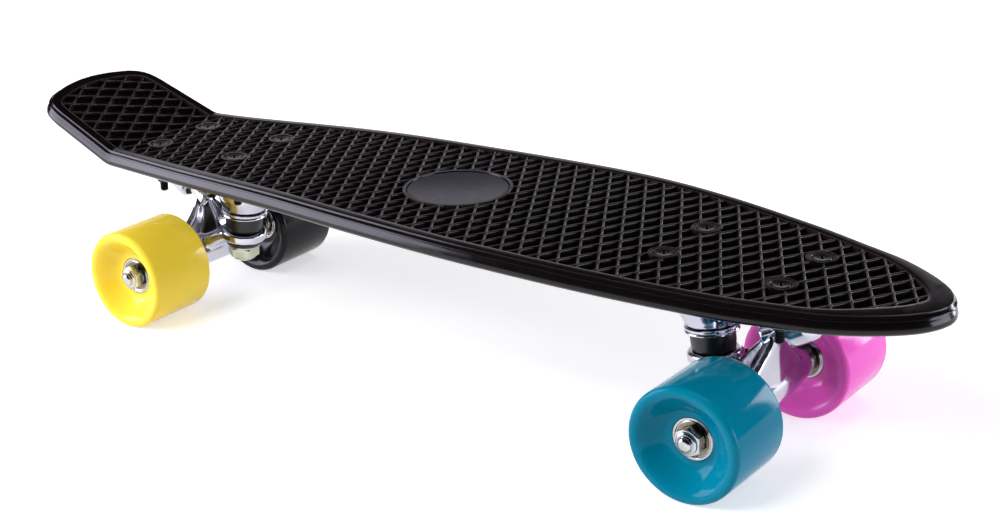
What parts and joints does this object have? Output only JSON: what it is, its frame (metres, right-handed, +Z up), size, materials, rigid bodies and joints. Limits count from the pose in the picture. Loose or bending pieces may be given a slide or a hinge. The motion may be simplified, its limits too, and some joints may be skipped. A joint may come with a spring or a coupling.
{
  "type": "cruiser skateboard",
  "caption": "Moulded cruiser skateboard with kicktail, waffle tread deck, round badge plate, steering trucks and wide wheels in mixed colours.",
  "frame": {"origin": "on the ground, under the middle of the deck's length and width", "axes": "+X to the nose, +Y to the left side, +Z up; the wheels stand on z = 0"},
  "size_m": [0.5892, 0.156, 0.1238],
  "materials": {
    "deck": "moulded gloss",
    "badge": "satin, dark grey",
    "polished": "mirror polished casting",
    "zinc": "bright zinc plated",
    "bearing": "ground steel with shields",
    "blackened": "black oxide",
    "bushing": "cast urethane, black",
    "wheel_teal": "cast polyurethane, glossy",
    "wheel_pink": "cast polyurethane, glossy",
    "wheel_yellow": "cast polyurethane, glossy",
    "wheel_black": "cast polyurethane, satin gloss"
  },
  "bodies": {
    "board": {"deck": "deck", "badge_plate": "badge", "nose_bolt_1": "blackened", "nose_nut_1": "blackened", "nose_bolt_2": "blackened", "nose_nut_2": "blackened", "nose_bolt_3": "blackened", "nose_nut_3": "blackened", "nose_bolt_4": "blackened", "nose_nut_4": "blackened", "tail_bolt_1": "blackened", "tail_nut_1": "blackened", "tail_bolt_2": "blackened", "tail_nut_2": "blackened", "tail_bolt_3": "blackened", "tail_nut_3": "blackened", "tail_bolt_4": "blackened", "tail_nut_4": "blackened", "nose_baseplate": "polished", "nose_pivot_cup": "bushing", "nose_kingpin": "zinc", "nose_kingpin_nut": "zinc", "nose_cup_washer": "polished", "nose_lower_washer": "zinc", "nose_upper_bushing": "bushing", "nose_lower_bushing": "bushing", "tail_baseplate": "polished", "tail_pivot_cup": "bushing", "tail_kingpin": "zinc", "tail_kingpin_nut": "zinc", "tail_cup_washer": "polished", "tail_lower_washer": "zinc", "tail_upper_bushing": "bushing", "tail_lower_bushing": "bushing"},
    "nose_truck": {"nose_hanger": "polished", "nose_axle": "zinc", "nose_left_spacer": "zinc", "nose_left_axle_nut": "zinc", "nose_right_spacer": "zinc", "nose_right_axle_nut": "zinc"},
    "nose_left_roller": {"nose_left_wheel": "wheel_pink", "nose_left_outer_bearing": "bearing", "nose_left_inner_bearing": "bearing"},
    "nose_right_roller": {"nose_right_wheel": "wheel_teal", "nose_right_outer_bearing": "bearing", "nose_right_inner_bearing": "bearing"},
    "tail_truck": {"tail_hanger": "polished", "tail_axle": "zinc", "tail_left_spacer": "zinc", "tail_left_axle_nut": "zinc", "tail_right_spacer": "zinc", "tail_right_axle_nut": "zinc"},
    "tail_left_roller": {"tail_left_wheel": "wheel_black", "tail_left_outer_bearing": "bearing", "tail_left_inner_bearing": "bearing"},
    "tail_right_roller": {"tail_right_wheel": "wheel_yellow", "tail_right_outer_bearing": "bearing", "tail_right_inner_bearing": "bearing"}
  },
  "joints": [
    {"name": "nose_steer", "type": "hinge", "parent": "board", "child": "nose_truck", "pos_m": [0.1729, 0, 0.042], "axis": [0.8575, 0, 0.5145], "range_deg": [-14, 14], "stiffness_Nm_per_rad": 20, "deforming": ["nose_upper_bushing", "nose_lower_bushing"]},
    {"name": "nose_left_spin", "type": "hinge", "parent": "nose_truck", "child": "nose_left_roller", "pos_m": [0.1999, 0.0555, 0.0298], "axis": [0, 1, 0], "continuous": true},
    {"name": "nose_right_spin", "type": "hinge", "parent": "nose_truck", "child": "nose_right_roller", "pos_m": [0.1999, -0.0555, 0.0298], "axis": [0, 1, 0], "continuous": true},
    {"name": "tail_steer", "type": "hinge", "parent": "board", "child": "tail_truck", "pos_m": [-0.1557, 0, 0.042], "axis": [-0.8575, 0, 0.5145], "range_deg": [-14, 14], "stiffness_Nm_per_rad": 20, "deforming": ["tail_upper_bushing", "tail_lower_bushing"]},
    {"name": "tail_left_spin", "type": "hinge", "parent": "tail_truck", "child": "tail_left_roller", "pos_m": [-0.1827, 0.0555, 0.0298], "axis": [0, 1, 0], "continuous": true},
    {"name": "tail_right_spin", "type": "hinge", "parent": "tail_truck", "child": "tail_right_roller", "pos_m": [-0.1827, -0.0555, 0.0298], "axis": [0, 1, 0], "continuous": true}
  ]
}
